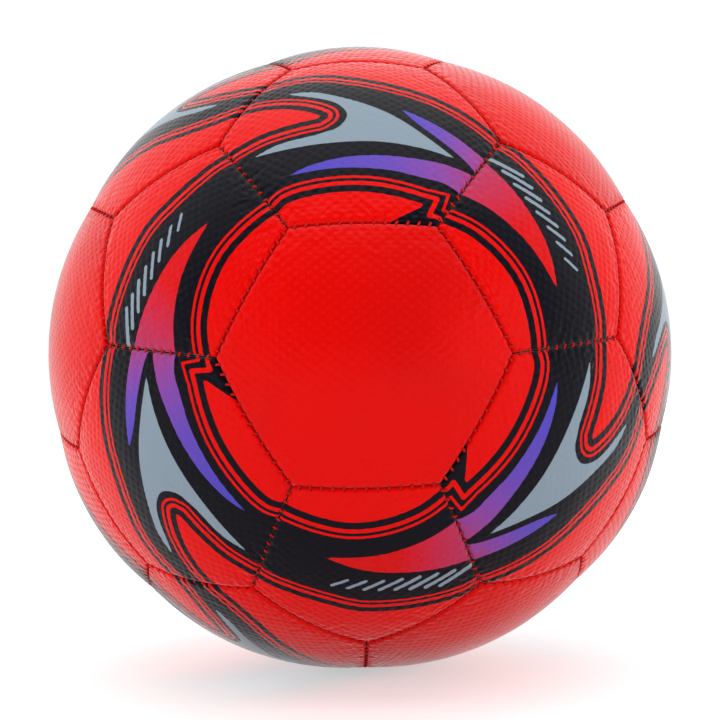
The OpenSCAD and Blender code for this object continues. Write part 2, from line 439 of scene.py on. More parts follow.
# %% Tree for one kind of cover
def cover_tree(sides, edge):
    tree, given = new_geometry_tree(f"cover_with_{sides}_sides", COVER_INPUTS)
    direction = add(tree, "GeometryNodeInputPosition")
    height = add(tree, "ShaderNodeSeparateXYZ", [direction]).outputs[2]
    low = add(tree, MATH, [given["Ball radius"], given["Seam dip"]], operation="SUBTRACT")
    dome = add(tree, RANGE, [height, 1.0, math.cos(edge), given["Ball radius"], low], clamp=False)

    folds, gathers = seam_shapes(tree, given, direction, sides, edge)
    fold = hole_fold(tree, given, direction)
    folds = add(tree, MATH, [fold, fold, folds], operation="MULTIPLY_ADD")
    folds = add(tree, MATH, [folds, 1.0], operation="MINIMUM")
    rolled = add(tree, MATH, [1.0, folds], operation="SUBTRACT")
    rolled = add(tree, MATH, [rolled], operation="SQRT")
    rolled = add(tree, MATH, [1.0, rolled], operation="SUBTRACT")
    top = dome
    for amount, depth in ((rolled, "Fold depth"), (gathers, "Gather depth"),
                          (dimples(tree, given, folds), "Dimple depth")):
        sunk = add(tree, MATH, [amount, given[depth]], operation="MULTIPLY")
        top = add(tree, MATH, [top, sunk], operation="SUBTRACT")
    sway = add(tree, NOISE, {"Vector": direction, "W": given["Seed"], "Scale": SWAY_SCALE,
                             "Detail": 1.5}, noise_dimensions="4D")
    sway = add(tree, MATH, [sway, 0.5], operation="SUBTRACT")
    top = add(tree, MATH, [sway, given["Sway depth"], top], operation="MULTIPLY_ADD")

    layer = add(tree, "GeometryNodeInputNamedAttribute", {"Name": "layer"}, data_type="FLOAT")
    is_under = add(tree, "FunctionNodeCompare", [layer, (FOOT + UNDER) / 2])
    is_beneath = add(tree, "FunctionNodeCompare", [layer, (TOP + FOOT) / 2])
    under = add(tree, MATH, [dome, given["Cover thickness"]], operation="SUBTRACT")
    beneath = add(tree, "GeometryNodeSwitch", {
        "Switch": is_under, "False": given["Foot radius"], "True": under}, input_type="FLOAT")
    radius = add(tree, "GeometryNodeSwitch", {
        "Switch": is_beneath, "False": top, "True": beneath}, input_type="FLOAT")
    place = add(tree, VECTOR_MATH, {0: direction, "Scale": radius}, operation="SCALE")
    moved = add(tree, "GeometryNodeSetPosition", {"Geometry": given["Geometry"], "Position": place})
    real = add(tree, "GeometryNodeRealizeInstances", [moved])
    smooth = add(tree, "GeometryNodeSetShadeSmooth", [real])
    done = add(tree, "GeometryNodeSetMaterial", {"Geometry": smooth, "Material": given["Material"]})
    add(tree, "NodeGroupOutput", [done])
    return tree


hexagon_tree = cover_tree(6, HEXAGON_EDGE)
pentagon_tree = cover_tree(5, PENTAGON_EDGE)
print("cover trees:", len(hexagon_tree.nodes), "and", len(pentagon_tree.nodes), "nodes")

# %% [markdown]
# ## The print, drawn as distances
# Each printed cover shows the same outlines, laid out here in millimetres over its surface from its
# middle. An image would need a file, and mesh edges along every outline would need a huge mesh, so
# each point of the mesh stores its distance to each outline instead. Distances blend smoothly
# between points, and the material turns them into crisp edges and even stripes.


# %% Lines and outlines
def over_the_surface(points):
    """Millimetres from the panel's middle, measured over the ball's surface."""
    flat = np.linalg.norm(points[:, :2], axis=1)
    arc = BALL_R / MM * np.arctan2(flat, points[:, 2])
    return points[:, :2] * (arc / np.maximum(flat, 1e-9))[:, None]


def curve(*points, steps=8):
    """Smooth line through the points, so that a few of them draw a long bend."""
    p = np.array(points, float)
    p = np.vstack([2 * p[0] - p[1], p, 2 * p[-1] - p[-2]])
    t = np.linspace(0, 1, steps, endpoint=False)[:, None]
    spans = [(2 * b + (c - a) * t + (2 * a - 5 * b + 4 * c - d) * t ** 2
              + (3 * b - a - 3 * c + d) * t ** 3) / 2 for a, b, c, d in zip(p, p[1:], p[2:], p[3:])]
    return np.vstack(spans + [p[-2:-1]])


def distance_to(line, spots):
    """Distance from every spot to a line of points."""
    nearest = np.full(len(spots), np.inf)
    for a, b in zip(line, line[1:]):
        span = b - a
        share = np.clip(((spots - a) @ span) / max(span @ span, 1e-12), 0, 1)
        nearest = np.minimum(nearest, np.linalg.norm(spots - a - share[:, None] * span, axis=1))
    return nearest


def inside_by(outline, spots):
    """Distance to a closed outline, above zero inside it."""
    closed = np.vstack([outline, outline[:1]])
    odd = np.zeros(len(spots), bool)
    x, y = spots.T
    for (ax, ay), (bx, by) in zip(closed, closed[1:]):
        if ay != by:
            odd ^= ((ay > y) != (by > y)) & (x < ax + (y - ay) / (by - ay) * (bx - ax))
    return np.where(odd, 1, -1) * distance_to(closed, spots)


# %% [markdown]
# ## The print on a hexagon
# The field is black between an outer and an inner arc, and a red tongue runs into it from the left.
# All three borders carry the same two red stripes. The inner border ends in a hook, so its stripes
# are cut there and two bent strokes carry on.

# %% Outlines on a hexagon
BEYOND = 70.0
OUTER_ARC = curve((-48, 26.4), (-40, 27.5), (-29.3, 28.4), (-22, 28.6), (-15, 27.8), (-8, 25.9),
                  (0, 22.6), (10, 18.8), (20, 15.4), (30, 11), (38, 6.2), (44.6, 1.6), (52, -4.5))
TONGUE_TOP = curve((-55, 12.6), (-39.2, 11.6), (-29.7, 9.8), (-20.3, 6.3), (-14.7, 3), (-11.9, 0.8))
TONGUE_FOOT = curve((-13.3, -0.3), (-20.3, -1), (-29.7, -2.3), (-34.4, -3.6), (-42.2, -6.1),
                    (-55, -11))
INNER_ARC = curve((-38, -41), (-32, -37.5), (-26, -34.2), (-22.2, -31.7), (-15.6, -30.5),
                  (-6.2, -30), (3.1, -30.4), (12.5, -31.9), (18.4, -33.3))
HOOK_BACK = curve((18, -34.3), (10, -39), (7.8, -40.1))
HOOK_PATCH = np.array([(20, -26.5), (18.9, -31.3), (20.2, -33.5), (19.2, -34.8), (10.9, -40),
                       (5, -44), (5, -BEYOND), (BEYOND, -BEYOND), (BEYOND, -26.5)])
BROAD_STROKE = np.array([(13.1, -28.96), (19.1, -30.3), (22.9, -30.9), (20.3, -36.8), (28, -37.6)])
THIN_STROKE = np.array([(13.7, -26.9), (19.6, -28.2), (26.5, -28.9), (24.7, -34.5), (30, -35.5)])
SWEEP = np.vstack([
    curve((-22.5, 16.5), (-15, 15), (-10, 12.5), (0, 6.9), (10, 0.6), (20, -7.5), (25, -11.6),
          (29.1, -14.8)),
    curve((29.1, -14.8), (20, -13), (10, -11.8), (0, -11.4), (-20, -11.7), (-33.5, -12)),
    curve((-33.5, -12), (-25, -9), (-15, -7.8), (-10, -6.5), (-7, -5.2), (-4.5, -2), (-4, 1.5),
          (-6, 5.5), (-10, 9), (-20, 14.5), (-22.5, 16.5))])
UPPER_FLAME = np.vstack([
    curve((12.5, 4), (20, 0.5), (30, -5.5), (37.7, -11), (42, -14)),
    curve((37.5, -20.5), (34.7, -17.3), (32, -14.5), (25, -8.5), (18, -2.5), (12.5, 4))])
LOWER_FLAME = np.vstack([
    curve((-22.5, -22.3), (-15, -19.5), (-5, -17.6), (5, -17), (15, -17.2), (25, -17.8), (33.5, -19.5),
          (38, -20.5)),
    curve((33, -30.5), (30, -27.6), (25, -25), (20, -24.3), (15, -23.5), (10, -22.6), (0, -21.7),
          (-10, -21.5), (-22.5, -22.3))])
BROAD_STROKE_W, THIN_STROKE_W = 1.5, 0.9
LATE_HUE = 0.64


def hexagon_print(spots):
    """Distances in millimetres to the outlines on a hexagon, for every spot."""
    outside = np.vstack([OUTER_ARC, [(BEYOND, BEYOND), (-BEYOND, BEYOND)]])
    tongue = np.vstack([TONGUE_TOP, TONGUE_FOOT])
    below = [(HOOK_BACK[-1][0], -BEYOND), (-BEYOND, -BEYOND)]
    ring = np.vstack([INNER_ARC, HOOK_BACK, below])
    red = np.maximum.reduce([inside_by(outline, spots) for outline in (outside, tongue, ring)])
    upper, lower = inside_by(UPPER_FLAME, spots), inside_by(LOWER_FLAME, spots)
    along_upper = np.interp(spots[:, 0], (12, 38), (0, 1))
    along_lower = np.interp(spots[:, 0], (-22, 34), (0, 1)) ** 1.3
    return {
        "edge": -red,
        "patch": inside_by(HOOK_PATCH, spots),
        "stroke": np.maximum(BROAD_STROKE_W / 2 - distance_to(BROAD_STROKE, spots),
                             THIN_STROKE_W / 2 - distance_to(THIN_STROKE, spots)),
        "sweep": inside_by(SWEEP, spots),
        "blaze": np.maximum(upper, lower),
        "hue": LATE_HUE * np.where(upper > lower, along_upper, along_lower)}


# %% [markdown]
# ## The print on a pentagon
# The same black field runs on between two arcs, with eight grey slashes under the outer one. The
# flame that starts on the hexagon before it ends here, turning from magenta to the ball's red.

# %% Outlines on a pentagon
OUTER_REACH = curve((-45, 11), (-36.4, 12.9), (-29.4, 14.9), (-14.7, 15.7), (-1.6, 15.6), (5, 14.7),
                    (14.8, 11.7), (24.6, 9), (32, 6.8), (42, 2))
INNER_REACH = curve((-34, -36.5), (-28, -33), (-22.9, -29.7), (-15, -25), (-5, -21.9), (5, -20.9),
                    (15, -22.4), (24.7, -25.3), (36, -29.5))
LAST_FLAME = np.vstack([
    curve((-45, -2.3), (-36, -2), (-20.4, -1.2), (-5.7, -2.3), (3.3, -4.3), (12.7, -8)),
    curve((12.7, -8), (0, -8.8), (-8.1, -10.2), (-18, -13.3), (-27, -17.8), (-40, -25))])
SLASHES = (((-32.5, 1), (-22.7, 6.5)), ((-27, 1.2), (-18, 6)), ((-21.5, 1), (-13.2, 5.7)),
           ((-16, 1), (-8.5, 5.3)), ((-10.6, 1), (-3.7, 5)), ((-5, 1.2), (1, 4.7)),
           ((0.3, 1), (6, 4.2)), ((5.8, 0.6), (10.8, 3.2)))
SLASH_WIDTHS = np.linspace(1.5, 1.0, len(SLASHES))
END_HUE = 0.72


def pentagon_print(spots):
    """Distances in millimetres to the outlines on a pentagon, for every spot."""
    outside = np.vstack([OUTER_REACH, [(BEYOND, BEYOND), (-BEYOND, BEYOND)]])
    ring = np.vstack([INNER_REACH, [(BEYOND, -BEYOND), (-BEYOND, -BEYOND)]])
    bars = [w / 2 - distance_to(np.array(s, float), spots) for s, w in zip(SLASHES, SLASH_WIDTHS)]
    return {
        "edge": -np.maximum(inside_by(outside, spots), inside_by(ring, spots)),
        "stroke": np.full(len(spots), -BEYOND),
        "patch": np.full(len(spots), -BEYOND),
        "sweep": np.maximum.reduce(bars),
        "blaze": inside_by(LAST_FLAME, spots),
        "hue": np.interp(spots[:, 0], (-33, -9), (END_HUE, 1))}


# %% [markdown]
# ## Distances to the seams
# The needle leaves a hole at each end of every stitch, and the material paints the shade inside it as a
# dark dot. Two more distances let the material draw these dots: how far a point is from its nearest
# seam, and how far along that seam it is from the middle.


# %% Seam distances and the finished blanks
def seam_fields(sides, edge, points):
    """Distance in millimetres from the nearest seam, and along it from its middle."""
    best = np.full(len(points), np.inf)
    best_run = np.zeros(len(points))
    for side in range(sides):
        inward, along, _ = side_vectors(side, sides, edge)
        off = points @ np.array(inward) * BALL_R / MM
        run = np.abs(points @ np.array(along)) * BALL_R / MM
        best_run = np.where(off < best, run, best_run)
        best = np.minimum(best, off)
    return {"seam_off": best, "seam_along": best_run}


def store_fields(mesh, fields, spots):
    """Stores the fields, and each point's place on the flat foil, in metres, as `grain`."""
    for name, values in fields.items():
        write_field(mesh, name, values)
    write_field(mesh, "grain", np.column_stack([spots, np.zeros(len(spots))]) * MM)


bare_blank = hexagon_blank.copy()
for blank, points, sides, edge, drawn in (
        (hexagon_blank, hexagon_points, 6, HEXAGON_EDGE, hexagon_print),
        (bare_blank, hexagon_points, 6, HEXAGON_EDGE, None),
        (valve_blank, valve_points, 6, HEXAGON_EDGE, None),
        (pentagon_blank, pentagon_points, 5, PENTAGON_EDGE, pentagon_print)):
    spots = over_the_surface(points)
    store_fields(blank, seam_fields(sides, edge, points), spots)
    if drawn:
        fields = drawn(spots)
        store_fields(blank, fields, spots)
        print(drawn.__name__, "black share:", round(float((fields["edge"] > 0).mean()), 2))

# %% [markdown]
# ## Printed PVC
# The cover is PVC foil on cloth, embossed by a roller, and its ink lies under a thin matted lacquer.
# So all colours share one satin: head on it mirrors less than clear PVC, whose index is about 1.5,
# and a sheen whitens it towards the ball's outline. Red is the foil's own colour and the rest is
# printed on it. The print could be an image, but inks laid over each other by their distances stay
# sharp at any zoom.

# %% Colours of the foil and the inks
RED = linear("#ec0400")
FADED_RED = linear("#d80a08")
INK = linear("#0d0c16")
SILVER = linear("#8e9fad")
# Painted shade: the dark inside each needle hole, drawn as a dot on the foil.
HOLE_SHADE = linear("#300404")
FLAME = [(place, linear(colour)) for place, colour in (
    (0.0, "#524cc4"), (0.3, "#6d4dba"), (0.5, "#8f4aa6"), (0.72, "#b83a68"), (1.0, "#e20c08"))]
# Where each ink starts, in millimetres inwards from the border of the black field.
STRIPES = ((0.0, INK), (2.3, RED), (3.7, INK), (4.7, RED), (5.6, INK))
SOFT_EDGE = 0.06
HOLE_FROM_SEAM = 0.72 * MM
HOLE_R = 0.2 * MM


# %% Steps of printing
def print_ink(tree, under, ink, outline):
    """Lays an ink over what is under it, wherever the distance to its outline is above zero."""
    distance = add(tree, ATTRIBUTE, attribute_name=outline).outputs["Fac"]
    covered = add(tree, RANGE, [distance, -SOFT_EDGE, SOFT_EDGE])
    return add(tree, MIX, {"Factor": covered, 6: under, 7: ink}, data_type="RGBA")


def print_stripes(tree):
    """The first ink: red outside the black field, and the stripes along its border."""
    start, end = -1.0, 7.0
    stops, under = [(0.0, RED)], RED
    for border, ink in STRIPES:
        for edge, colour in ((border - SOFT_EDGE, under), (border + SOFT_EDGE, ink)):
            stops.append(((edge - start) / (end - start), colour))
        under = ink
    distance = add(tree, ATTRIBUTE, attribute_name="edge").outputs["Fac"]
    return add(tree, RAMP, [add(tree, RANGE, [distance, start, end])], stops)


def flame_ink(tree):
    """The ink that runs from violet to red along a flame, a little speckled as real ink is."""
    place = add(tree, "ShaderNodeTexCoord").outputs["Object"]
    speckle = add(tree, NOISE, {"Vector": place, "Scale": 1 / (1.0 * MM), "Detail": 3.0})
    speckle = add(tree, RANGE, [speckle, 0.3, 0.7, -0.06, 0.06])
    hue = add(tree, ATTRIBUTE, attribute_name="hue").outputs["Fac"]
    return add(tree, RAMP, [add(tree, MATH, [hue, speckle], operation="ADD")], FLAME)


# %% Painted shade of the needle holes, and embossing
def needle_hole_shade(tree):
    """1 at the dots of painted shade in the needle holes at the ends of every stitch, which repeat at
    the pitch along each seam.
    """
    along = add(tree, ATTRIBUTE, attribute_name="seam_along").outputs["Fac"]
    off = add(tree, ATTRIBUTE, attribute_name="seam_off").outputs["Fac"]
    along = add(tree, MATH, [along, STITCH_PITCH / MM / 2], operation="PINGPONG")
    off = add(tree, MATH, [off, HOLE_FROM_SEAM / MM], operation="SUBTRACT")
    reach = add(tree, "ShaderNodeCombineXYZ", [along, off])
    reach = add(tree, VECTOR_MATH, [reach], operation="LENGTH")
    return add(tree, RANGE, [reach, HOLE_R / MM * 1.3, HOLE_R / MM * 0.7])


def pressed_pits(tree):
    """1 in the embossed dimples, by the same rule as their shape in the mesh."""
    grain = add(tree, ATTRIBUTE, attribute_name="grain").outputs["Vector"]
    turns = (2 * math.pi / DIMPLE_ACROSS, 2 * math.pi / DIMPLE_ALONG, 0.0)
    waves = add(tree, VECTOR_MATH, [grain, turns], operation="MULTIPLY")
    waves = add(tree, VECTOR_MATH, [waves], operation="COSINE")
    waves = add(tree, "ShaderNodeSeparateXYZ", [waves]).outputs
    spots = add(tree, MATH, [waves[0], waves[1]], operation="MULTIPLY")
    return add(tree, RANGE, [spots, DIMPLE_RIM, DIMPLE_FLOOR])


# %% Satin, grain and creases
CLOUDS_PER_METRE = 60.0
FOIL_ROUGHNESS = (0.25, 0.33)
PIT_ROUGHNESS = 0.56
GRAIN_WIDTH = 0.7 * MM
GRAIN_DEPTH = 0.03 * MM
CREASE_WIDTH = 7 * MM
CREASE_DEPTH = 1.2 * MM
CREASE_FAR, CREASE_NEAR = 14.0, 1.0


def finish_pvc(tree, shader, colour):
    """Gives the satin, the grain, the creases and the painted shade of the stitch holes that every cover
    shares.
    """
    place = add(tree, "ShaderNodeTexCoord").outputs["Object"]
    # Painted shade: a dark dot in each needle hole, where the thread goes in.
    colour = add(tree, MIX, {"Factor": needle_hole_shade(tree), 6: colour, 7: HOLE_SHADE}, data_type="RGBA")
    # Handling leaves the satin cloudy, and the lacquer lies thicker and duller in the dimples.
    clouds = add(tree, NOISE, {"Vector": place, "Scale": CLOUDS_PER_METRE, "Detail": 3.0})
    gloss = add(tree, RANGE, [clouds, 0.3, 0.7, *FOIL_ROUGHNESS])
    gloss = add(tree, MIX, {"Factor": pressed_pits(tree), 2: gloss, 3: PIT_ROUGHNESS})
    # The roller's fine grain, and creases that the stitches pull, strongest at the seams.
    grain = add(tree, "ShaderNodeTexVoronoi", {"Vector": place, "Scale": 1 / GRAIN_WIDTH})
    bumps = add(tree, BUMP, {"Height": grain, "Strength": 0.25, "Distance": GRAIN_DEPTH})
    creases = add(tree, NOISE, {"Vector": place, "Scale": 1 / CREASE_WIDTH, "Detail": 3.0,
                                "Distortion": 1.2})
    off = add(tree, ATTRIBUTE, attribute_name="seam_off").outputs["Fac"]
    pulled = add(tree, RANGE, [off, CREASE_FAR, CREASE_NEAR, 0.3, 1.0],
                 interpolation_type="SMOOTHSTEP")
    creases = add(tree, MATH, [creases, pulled], operation="MULTIPLY")
    bumps = add(tree, BUMP, {"Height": creases, "Strength": 0.5, "Distance": CREASE_DEPTH,
                             "Normal": bumps})
    feed(tree, shader, {"Base Color": colour, "Roughness": gloss, "Normal": bumps,
                        "Specular IOR Level": 0.1, "Sheen Weight": 0.6, "Sheen Roughness": 0.3})


# %% Printed covers
printed_pvc, tree, shader = new_material("printed_pvc_foil")
colour = print_stripes(tree)
for outline, ink in (("patch", INK), ("sweep", SILVER), ("blaze", flame_ink(tree)), ("stroke", RED)):
    colour = print_ink(tree, colour, ink, outline)
finish_pvc(tree, shader, colour)
print("printed_pvc_foil:", len(tree.nodes), "nodes")

# %% Plain red covers
FADES_PER_METRE = 18.0
red_pvc, tree, shader = new_material("red_pvc_foil")
place = add(tree, "ShaderNodeTexCoord").outputs["Object"]
fade = add(tree, NOISE, {"Vector": place, "Scale": FADES_PER_METRE, "Detail": 2.0})
fade = add(tree, RANGE, [fade, 0.35, 0.75])
finish_pvc(tree, shader, add(tree, MIX, {"Factor": fade, 6: RED, 7: FADED_RED}, data_type="RGBA"))
print("red_pvc_foil:", len(tree.nodes), "nodes")

# %% [markdown]
# ## Making the covers
# The tree runs once for each of the thirty-two covers, because each has its own gentle sway from
# its own seed, and then the cover's matrix puts it in its place.

# %% Thirty-two covers
COVER_SIZES = {
    "Ball radius": BALL_R, "Seam dip": SEAM_DIP, "Half gap": HALF_GAP, "Fold width": FOLD_WIDTH,
    "Fold depth": FOLD_DEPTH, "Foot radius": BLADDER_R, "Cover thickness": COVER_T,
    "Hole radius": NO_HOLE, "Stitch pitch": STITCH_PITCH, "Stitch slant": STITCH_SLANT,
    "Gather width": GATHER_WIDTH, "Gather depth": GATHER_DEPTH, "Dimple across": DIMPLE_ACROSS,
    "Dimple along": DIMPLE_ALONG, "Dimple depth": DIMPLE_DEPTH, "Sway depth": SWAY_DEPTH}


def cover(name, blank, tree, material, place, slot, seed, hole=NO_HOLE):
    """Shapes one cover from its blank, puts it in its place and makes it a piece."""
    values = dict(COVER_SIZES, **{"Seed": float(seed), "Material": material, "Hole radius": hole})
    mesh = run_tree(blank, name, tree, values)
    mesh.transform(place)
    return piece(name, mesh, slot, name.replace("cover_", ""))


covers = []
for number in range(RINGS * SPOKES):
    covers.append(cover(f"cover_swirl_hexagon_{number + 1}", hexagon_blank, hexagon_tree, printed_pvc,
                        swirl_hexagon_place(number), "printed_cover", number))
    covers.append(cover(f"cover_swirl_pentagon_{number + 1}", pentagon_blank, pentagon_tree,
                        printed_pvc, swirl_pentagon_place(number), "printed_cover", 20 + number))
for ring in range(RINGS):
    covers.append(cover(f"cover_red_hexagon_{ring + 1}", bare_blank, hexagon_tree, red_pvc,
                        red_place(ring), "red_cover", 40 + ring))
    if ring:
        covers.append(cover(f"cover_plain_hexagon_{ring}", bare_blank, hexagon_tree, red_pvc,
                            plain_place(ring), "red_cover", 50 + ring))
covers.append(cover("cover_valve_hexagon", valve_blank, hexagon_tree, red_pvc, plain_place(0),
                    "red_cover", 50, VALVE_HOLE_R))
print(len(covers), "covers,", sum(len(c.data.polygons) for c in covers), "faces")

# %% [markdown]
# ## The stitches
# A thick waxed thread crosses each seam from hole to hole, thirteen times along it. What shows is a
# row of short fat bars lying in the groove. A node tree takes a line for each seam, sets points
# along it at the pitch, and puts one small bar on each point, turned to the seam and the surface.

# %% Lines along the seams
THREAD_W = 0.78 * MM
STITCH_REACH = 0.6 * MM
STITCH_DIP = 0.5 * MM
BED_DEPTH = 0.3 * MM
SEAM_BED_R = BALL_R - SEAM_DIP - BED_DEPTH


def seam_line(place, edge, side, sides):
    """Points on the ball where one seam's stitches lie."""
    _, along, middle = side_vectors(side, sides, edge)
    spots = []
    for step in range(STITCHES):
        turn = (step - (STITCHES - 1) / 2) * STITCH_PITCH / SEAM_BED_R
        spots.append(place @ ((middle * math.cos(turn) + along * math.sin(turn)) * SEAM_BED_R))
    return spots


def seam_mesh(name, lines):
    """One mesh of loose edges, with a chain of them for each seam."""
    mesh = bpy.data.meshes.new(name)
    points = [p for line in lines for p in line]
    edges = [(row * STITCHES + i, row * STITCHES + i + 1) for row in range(len(lines))
             for i in range(STITCHES - 1)]
    mesh.from_pydata(points, edges, [])
    return mesh


RING_SIDE, PLAIN_SIDE, PAIR_SIDE = 0, 2, 4
hexagon_seams, pentagon_seams = [], []
for number in range(RINGS * SPOKES):
    place = swirl_hexagon_place(number)
    ring, spoke = divmod(number, SPOKES)
    hexagon_seams.append(seam_line(place, HEXAGON_EDGE, RING_SIDE, 6))
    hexagon_seams.append(seam_line(place, HEXAGON_EDGE, PLAIN_SIDE, 6))
    if ring < ring ^ (spoke + 1):
        hexagon_seams.append(seam_line(place, HEXAGON_EDGE, PAIR_SIDE, 6))
    for side in range(5):
        pentagon_seams.append(seam_line(swirl_pentagon_place(number), PENTAGON_EDGE, side, 5))
print(len(hexagon_seams), "seams between hexagons,", len(pentagon_seams), "round the pentagons")


# %% One stitch
def stitch_bar(tree, given):
    """One stitch about +Z, across the seam: a flat arch of thread whose ends dive into their holes."""
    down = add(tree, MATH, [given["Dip"], -1.0], operation="MULTIPLY")
    right = add(tree, "ShaderNodeCombineXYZ", [given["Slant"], given["Reach"], down])
    left = add(tree, VECTOR_MATH, [right, (-1, -1, 1)], operation="MULTIPLY")
    arch = add(tree, "GeometryNodeCurveQuadraticBezier", {
        "Resolution": 6, "Start": left, "End": right,
        "Middle": add(tree, "ShaderNodeCombineXYZ", {2: given["Dip"]})})
    half = add(tree, MATH, [given["Thread width"], 0.5], operation="MULTIPLY")
    section = add(tree, "GeometryNodeCurvePrimitiveCircle", {"Resolution": 8})
    section = add(tree, "GeometryNodeTransform", {
        "Geometry": section, "Scale": add(tree, "ShaderNodeCombineXYZ", [half, half, 1.0])})
    bar = add(tree, "GeometryNodeCurveToMesh", {
        "Curve": arch, "Profile Curve": section, "Fill Caps": True})
    flat = add(tree, "ShaderNodeCombineXYZ", [1.0, 1.0, given["Flatness"]])
    return add(tree, "GeometryNodeTransform", {"Geometry": bar, "Scale": flat})


# %% Turning the stitches
SKEW_SEED = 7


def stitch_turn(tree, given):
    """Turns a bar to the surface and to its seam, and a little askew, as sewing leaves it."""
    outward = add(tree, "GeometryNodeInputPosition")
    along = add(tree, "GeometryNodeInputTangent")
    turn = add(tree, "FunctionNodeAlignRotationToVector", {"Vector": outward}, axis="Z")
    turn = add(tree, "FunctionNodeAlignRotationToVector", {"Rotation": turn, "Vector": along},
               axis="X", pivot_axis="Z")
    other = add(tree, MATH, [given["Skew"], -1.0], operation="MULTIPLY")
    skew = add(tree, "FunctionNodeRandomValue", {2: given["Skew"], 3: other, "Seed": SKEW_SEED},
               data_type="FLOAT")
    skew = add(tree, "ShaderNodeCombineXYZ", {2: skew})
    return add(tree, "FunctionNodeRotateRotation", {"Rotation": turn, "Rotate By": skew},
               rotation_space="LOCAL")


# %% Tree for the stitches
tree, given = new_geometry_tree(
    "stitches", ("Count", "Thread width", "Flatness", "Reach", "Slant", "Dip", "Skew"))
row = add(tree, "GeometryNodeMeshToCurve", [given["Geometry"]])
row = add(tree, "GeometryNodeResampleCurve", {"Curve": row, "Count": given["Count"]})
bars = add(tree, "GeometryNodeInstanceOnPoints", {
    "Points": row, "Instance": stitch_bar(tree, given), "Rotation": stitch_turn(tree, given)})
real = add(tree, "GeometryNodeRealizeInstances", [bars])
smooth = add(tree, "GeometryNodeSetShadeSmooth", [real])
done = add(tree, "GeometryNodeSetMaterial", {"Geometry": smooth, "Material": given["Material"]})
add(tree, "NodeGroupOutput", [done])
stitch_tree = tree
print("stitch tree:", len(stitch_tree.nodes), "nodes")

# %% [markdown]
# ## Waxed polyester thread
# The thread is twisted from a few plies and drawn through wax, so it shines a little along its ridges.
# It is dyed red, like the foil, and its colour follows the noise that raises the ridges, darker where
# the ridges sink.

# %% Thread finish
FIBRE_WIDTH = 0.5 * MM
FIBRE_DEPTH = 0.15 * MM
thread, tree, shader = new_material("waxed_polyester_thread")
place = add(tree, "ShaderNodeTexCoord").outputs["Object"]
fibres = add(tree, NOISE, {"Vector": place, "Scale": 1 / FIBRE_WIDTH, "Detail": 2.0})
colour = add(tree, RAMP, [fibres], [(0.3, linear("#a80603")), (0.7, linear("#dc0a05"))])
ridges = add(tree, BUMP, {"Height": fibres, "Strength": 0.6, "Distance": FIBRE_DEPTH})
feed(tree, shader, {"Base Color": colour, "Normal": ridges, "Roughness": 0.55,
                    "Specular IOR Level": 0.2})

# %% Two pieces of stitching
for name, lines, node in (("stitches_between_hexagons", hexagon_seams, "hexagon_seam_threads"),
                          ("stitches_round_pentagons", pentagon_seams, "pentagon_seam_threads")):
    mesh = run_tree(seam_mesh(name, lines), name, stitch_tree, {
        "Count": float(STITCHES), "Thread width": THREAD_W, "Flatness": 0.7, "Reach": STITCH_REACH,
        "Slant": STITCH_SLANT, "Dip": STITCH_DIP, "Skew": math.radians(12), "Material": thread})
    made = piece(name, mesh, "thread", node)
    print(name, len(made.data.polygons), "faces")

# %% [markdown]
# ## What lies under the covers
# Foam pads, cloth linings, the rubber bladder and the valve have their right shape already, so their
# CAD nodes stay and only get finishes. They show in the valve's hole and in any cut-away view.


# %% Foam and rubber
def soft_finish(name, dark, light, grain, rough, depth):
    """Finish with two close shades and a bump, both of one grain size in metres."""
    material, tree, shader = new_material(name)
    place = add(tree, "ShaderNodeTexCoord").outputs["Object"]
    speckle = add(tree, NOISE, {"Vector": place, "Scale": 1 / grain, "Detail": 3.0})
    colour = add(tree, RAMP, [speckle], [(0.3, linear(dark)), (0.7, linear(light))])
    bumps = add(tree, BUMP, {"Height": speckle, "Strength": 0.5, "Distance": depth})
    feed(tree, shader, {"Base Color": colour, "Normal": bumps, "Roughness": rough})
    return material


# EVA foam is closed-cell and matt: open bubbles at its cut faces show as fine pits.
eva_foam = soft_finish("cut_eva_foam", "#d9d6cc", "#efece2", 0.8 * MM, 0.85, 0.2 * MM)
# Butyl rubber is moulded smooth and dusted with talc, which greys it in clouds.
butyl = soft_finish("dusted_butyl_rubber", "#1b1b1c", "#2c2c2d", 9 * MM, 0.6, 0.05 * MM)
# The valve is a harder rubber, moulded, with a faint sheen.
valve_rubber = soft_finish("moulded_valve_rubber", "#161616", "#232323", 1.5 * MM, 0.48, 0.04 * MM)

# %% Lining cloth
# A plain weave of poly-cotton: warp and weft cross at every thread, and the cloth looks dull and dry.
# The wave node turns 20 radians over a unit at scale 1, so this scale gives one wave to a thread.
THREAD_SPACING = 0.8 * MM
WEAVE_SCALE = 2 * math.pi / 20 / THREAD_SPACING
lining_cloth, tree, shader = new_material("woven_polycotton_lining")
place = add(tree, "ShaderNodeTexCoord").outputs["Object"]
warp, weft = [add(tree, "ShaderNodeTexWave", {"Vector": place, "Scale": WEAVE_SCALE},
                  bands_direction=axis).outputs["Fac"] for axis in ("X", "Z")]
weave = add(tree, MATH, [warp, weft], operation="MULTIPLY")
colour = add(tree, RAMP, [weave], [(0.0, linear("#b9b6ac")), (1.0, linear("#e6e3da"))])
bumps = add(tree, BUMP, {"Height": weave, "Strength": 0.6, "Distance": 0.2 * MM})
feed(tree, shader, {"Base Color": colour, "Normal": bumps, "Roughness": 0.9})

# %% Finishes on the CAD nodes
INNER_FINISHES = {
    "hexagon_foam_pads": eva_foam, "pentagon_foam_pads": eva_foam, "valve_foam_pad": eva_foam,
    "hexagon_linings": lining_cloth, "pentagon_linings": lining_cloth, "valve_lining": lining_cloth,
    "bladder": butyl, "valve_patch": butyl, "valve_housing": valve_rubber, "valve_core": valve_rubber}
for node, finish in INNER_FINISHES.items():
    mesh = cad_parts[node].data
    mesh.materials.clear()
    mesh.materials.append(finish)
    print(node, len(mesh.polygons), "faces")

